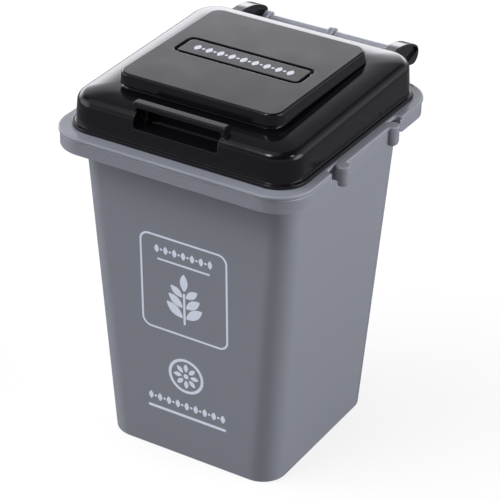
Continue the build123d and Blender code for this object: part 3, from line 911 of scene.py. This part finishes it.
def moulded_plastic(name, colour, edge_highlight_colour, roughness, texture, soft_edge):
    """Moulded plastic: fine skin on a slow ripple, uneven sheen, and edges painted paler as a
    highlight.

    Texture is (grain height, ripple height) and soft_edge a radius, all in metres. Roughness
    is (least, most). Edges are found where a rounded normal leaves the flat one.
    """
    made = bpy.data.materials.new(name)
    made.use_nodes = True
    tree = made.node_tree
    shader = tree.nodes["Principled BSDF"]
    shader.inputs["IOR"].default_value = 1.5
    place = node(tree, "ShaderNodeTexCoord")
    grain = node(tree, "ShaderNodeTexNoise", input_2=2600.0, input_3=3.0)
    ripple = node(tree, "ShaderNodeTexNoise", input_2=38.0, input_3=1.0)
    haze = node(tree, "ShaderNodeTexNoise", input_2=120.0, input_3=4.0)
    for texture_node in (grain, ripple, haze):
        tree.links.new(place.outputs["Object"], texture_node.inputs["Vector"])
    sheen = node(tree, "ShaderNodeMapRange", input_1=0.3, input_2=0.7)
    sheen.inputs[3].default_value, sheen.inputs[4].default_value = roughness
    tree.links.new(haze.outputs["Fac"], sheen.inputs[0])
    round_edge = node(tree, "ShaderNodeBevel", samples=6)
    round_edge.inputs["Radius"].default_value = soft_edge
    first = node(tree, "ShaderNodeBump")
    first.inputs["Strength"].default_value = 1.0
    first.inputs["Distance"].default_value = texture[1]
    tree.links.new(ripple.outputs["Fac"], first.inputs["Height"])
    tree.links.new(round_edge.outputs["Normal"], first.inputs["Normal"])
    second = node(tree, "ShaderNodeBump")
    second.inputs["Strength"].default_value = 1.0
    second.inputs["Distance"].default_value = texture[0]
    tree.links.new(grain.outputs["Fac"], second.inputs["Height"])
    tree.links.new(first.outputs["Normal"], second.inputs["Normal"])
    tree.links.new(second.outputs["Normal"], shader.inputs["Normal"])
    # Painted highlight: where a wider rounded normal leaves the flat one, the edge is painted the
    # paler highlight colour, patchy by the haze, and made a little rougher.
    flat = node(tree, "ShaderNodeNewGeometry")
    turn = node(tree, "ShaderNodeVectorMath", operation="DOT_PRODUCT")
    highlight_bevel = node(tree, "ShaderNodeBevel", samples=6)
    highlight_bevel.inputs["Radius"].default_value = soft_edge * 2.2
    tree.links.new(highlight_bevel.outputs["Normal"], turn.inputs[0])
    tree.links.new(flat.outputs["Normal"], turn.inputs[1])
    edge = node(tree, "ShaderNodeMapRange", input_1=0.985, input_2=0.92, input_3=0.0, input_4=1.0)
    tree.links.new(turn.outputs["Value"], edge.inputs[0])
    painted_highlight_mask = node(tree, "ShaderNodeMath", operation="MULTIPLY")
    tree.links.new(edge.outputs[0], painted_highlight_mask.inputs[0])
    tree.links.new(haze.outputs["Fac"], painted_highlight_mask.inputs[1])
    mix = node(tree, "ShaderNodeMix", data_type="RGBA")
    mix.inputs[6].default_value = (*colour, 1)
    mix.inputs[7].default_value = (*edge_highlight_colour, 1)
    tree.links.new(painted_highlight_mask.outputs[0], mix.inputs[0])
    tree.links.new(mix.outputs[2], shader.inputs["Base Color"])
    edge_roughness = node(tree, "ShaderNodeMath", operation="MULTIPLY_ADD", input_1=0.12)
    tree.links.new(painted_highlight_mask.outputs[0], edge_roughness.inputs[0])
    tree.links.new(sheen.outputs[0], edge_roughness.inputs[2])
    tree.links.new(edge_roughness.outputs[0], shader.inputs["Roughness"])
    return made


def ink(name, colour):
    """Pad-printed ink: matt, slightly uneven in density."""
    made = bpy.data.materials.new(name)
    made.use_nodes = True
    tree = made.node_tree
    shader = tree.nodes["Principled BSDF"]
    place = node(tree, "ShaderNodeTexCoord")
    cover = node(tree, "ShaderNodeTexNoise", input_2=900.0, input_3=3.0)
    tree.links.new(place.outputs["Object"], cover.inputs["Vector"])
    ramp = node(tree, "ShaderNodeMix", data_type="RGBA")
    ramp.inputs[6].default_value = tuple(value * 0.86 for value in colour) + (1,)
    ramp.inputs[7].default_value = (*colour, 1)
    tree.links.new(cover.outputs["Fac"], ramp.inputs[0])
    tree.links.new(ramp.outputs[2], shader.inputs["Base Color"])
    rough = node(tree, "ShaderNodeMapRange", input_3=0.45, input_4=0.6)
    tree.links.new(cover.outputs["Fac"], rough.inputs[0])
    tree.links.new(rough.outputs[0], shader.inputs["Roughness"])
    return made


# ---- camera, floor and light --------------------------------------------------------------

def make_camera():
    """Long lens from the right of the front, looking down, turned a little about its axis."""
    azimuth, elevation, roll = (math.radians(angle) for angle in CAMERA_ANGLES)
    flat = math.cos(elevation)
    back = np.array([math.sin(azimuth) * flat, -math.cos(azimuth) * flat, math.sin(elevation)])
    level = np.array([math.cos(azimuth), math.sin(azimuth), 0])
    upward = np.cross(back, level)
    right = level * math.cos(roll) + upward * math.sin(roll)
    up = upward * math.cos(roll) - level * math.sin(roll)
    place = (np.array(CAMERA_TARGET) + back * CAMERA_DISTANCE) * METRE
    data = bpy.data.cameras.new("camera")
    data.sensor_width = SENSOR
    data.lens = SENSOR * FOCAL_SHARE
    data.clip_start = 0.05
    camera = bpy.data.objects.new("camera", data)
    bpy.context.scene.collection.objects.link(camera)
    matrix = np.eye(4)
    matrix[:3, 0], matrix[:3, 1], matrix[:3, 2], matrix[:3, 3] = right, up, back, place
    camera.matrix_world = Matrix(matrix.tolist())
    bpy.context.scene.camera = camera


def make_floor():
    """Plain floor that keeps the shadow, lifted to white for the camera."""
    rows = np.array([(-3, -3, 0), (3, -3, 0), (3, 3, 0), (-3, 3, 0)], float)
    mesh = bpy.data.meshes.new("floor")
    mesh.from_pydata(rows.tolist(), [], [[0, 1, 2, 3]])
    floor = bpy.data.objects.new("floor", mesh)
    bpy.context.scene.collection.objects.link(floor)
    made = bpy.data.materials.new("floor_white")
    made.use_nodes = True
    tree = made.node_tree
    shader = tree.nodes["Principled BSDF"]
    shader.inputs["Base Color"].default_value = (FLOOR_TONE, FLOOR_TONE, FLOOR_TONE, 1)
    shader.inputs["Roughness"].default_value = 0.9
    shader.inputs["Specular IOR Level"].default_value = 0.0
    path = node(tree, "ShaderNodeLightPath")
    glow = node(tree, "ShaderNodeMath", operation="MULTIPLY", input_1=FLOOR_LIFT)
    tree.links.new(path.outputs["Is Camera Ray"], glow.inputs[0])
    shader.inputs["Emission Color"].default_value = (1, 1, 1, 1)
    tree.links.new(glow.outputs[0], shader.inputs["Emission Strength"])
    mesh.materials.append(made)


def toward(tree, direction, axis):
    """Node output: cosine of the angle between a direction and an axis."""
    unit = np.array(axis, float) / np.linalg.norm(axis)
    made = node(tree, "ShaderNodeVectorMath", operation="DOT_PRODUCT")
    made.inputs[1].default_value = unit.tolist()
    tree.links.new(direction, made.inputs[0])
    return made.outputs["Value"]


def eased(tree, value, start, stop, low, high):
    """Node output: smooth step from low to high while the value goes from start to stop."""
    made = node(tree, "ShaderNodeMapRange", interpolation_type="SMOOTHSTEP")
    for place, number in enumerate((start, stop, low, high), 1):
        made.inputs[place].default_value = number
    tree.links.new(value, made.inputs[0])
    return made.outputs[0]


def combine(tree, operation, first, second):
    """Node output: two values added or multiplied."""
    made = node(tree, "ShaderNodeMath", operation=operation)
    tree.links.new(first, made.inputs[0])
    tree.links.new(second, made.inputs[1])
    return made.outputs[0]


def round_lamp(tree, direction, axis, inner, outer, power):
    """Node output: round lamp that is full within the inner angle and fades out by the outer."""
    edge = [math.cos(math.radians(angle)) for angle in (outer, inner)]
    return eased(tree, toward(tree, direction, axis), *edge, 0.0, power)


def make_world():
    """Studio round the object: a bright backdrop behind, a dim room, and soft round lamps.

    The camera itself sees plain white. Gloss shows the fills only by FILL_IN_GLOSS.
    """
    world = bpy.data.worlds.new("studio")
    bpy.context.scene.world = world
    world.use_nodes = True
    tree = world.node_tree
    tree.nodes.clear()
    direction = node(tree, "ShaderNodeTexCoord").outputs["Generated"]
    split = node(tree, "ShaderNodeSeparateXYZ")
    tree.links.new(direction, split.inputs[0])
    ramp = node(tree, "ShaderNodeValToRGB")
    while len(ramp.color_ramp.elements) < len(BACKDROP_LEVELS):
        ramp.color_ramp.elements.new(0.5)
    for element, (position, level) in zip(ramp.color_ramp.elements, BACKDROP_LEVELS):
        element.position = position
        element.color = (level, level, level, 1)
    tree.links.new(split.outputs["Z"], ramp.inputs[0])
    flat = node(tree, "ShaderNodeVectorMath", operation="MULTIPLY")
    flat.inputs[1].default_value = (1, 1, 0)
    tree.links.new(direction, flat.inputs[0])
    level = node(tree, "ShaderNodeVectorMath", operation="NORMALIZE")
    tree.links.new(flat.outputs[0], level.inputs[0])
    behind = toward(tree, level.outputs[0], BACKDROP_SIDE)
    share = eased(tree, behind, *BACKDROP_EDGE, BACKDROP_POWER * ROOM_SHARE, BACKDROP_POWER)
    light = combine(tree, "MULTIPLY", ramp.outputs[0], share)
    for lamp in LAMPS:
        light = combine(tree, "ADD", light, round_lamp(tree, direction, *lamp))
    path = node(tree, "ShaderNodeLightPath")
    dimmed = eased(tree, path.outputs["Is Glossy Ray"], 0.0, 1.0, 1.0, FILL_IN_GLOSS)
    for lamp in FILLS:
        fill = combine(tree, "MULTIPLY", round_lamp(tree, direction, *lamp), dimmed)
        light = combine(tree, "ADD", light, fill)
    studio = node(tree, "ShaderNodeBackground")
    tree.links.new(light, studio.inputs[1])
    studio.inputs[0].default_value = (*LIGHT_TINT, 1)
    white = node(tree, "ShaderNodeBackground", input_1=1.0)
    white.inputs[0].default_value = (1, 1, 1, 1)
    mix = node(tree, "ShaderNodeMixShader")
    tree.links.new(path.outputs["Is Camera Ray"], mix.inputs[0])
    tree.links.new(studio.outputs[0], mix.inputs[1])
    tree.links.new(white.outputs[0], mix.inputs[2])
    out = node(tree, "ShaderNodeOutputWorld")
    tree.links.new(mix.outputs[0], out.inputs[0])


# The second colour of each plastic is the paler colour painted on its edges as a highlight.
grey = moulded_plastic(
    "grey_plastic", (0.222, 0.233, 0.258), (0.70, 0.72, 0.76), (0.12, 0.19), (3e-6, 3e-5), 2.6e-4
)
bar_grey = moulded_plastic(
    "bar_grey_plastic", (0.29, 0.303, 0.33), (0.60, 0.62, 0.65), (0.12, 0.19), (3e-6, 3e-5), 2.5e-4
)
black = moulded_plastic(
    "black_plastic",
    (0.0042, 0.0041, 0.0054),
    (0.03, 0.03, 0.034),
    (0.08, 0.16),
    (1e-6, 2.5e-5),
    2.0e-4,
)
pale_ink = ink("pale_ink", (0.78, 0.83, 0.92))
plate_ink = ink("plate_ink", (0.52, 0.54, 0.58))

make_bin(grey)
make_rod(bar_grey)
make_lid(black)
make_cap(black)
make_plate(black)
make_front_print(pale_ink)
make_plate_print(plate_ink)

make_camera()
make_floor()
make_world()

bpy.context.scene.view_settings.view_transform = "Standard"
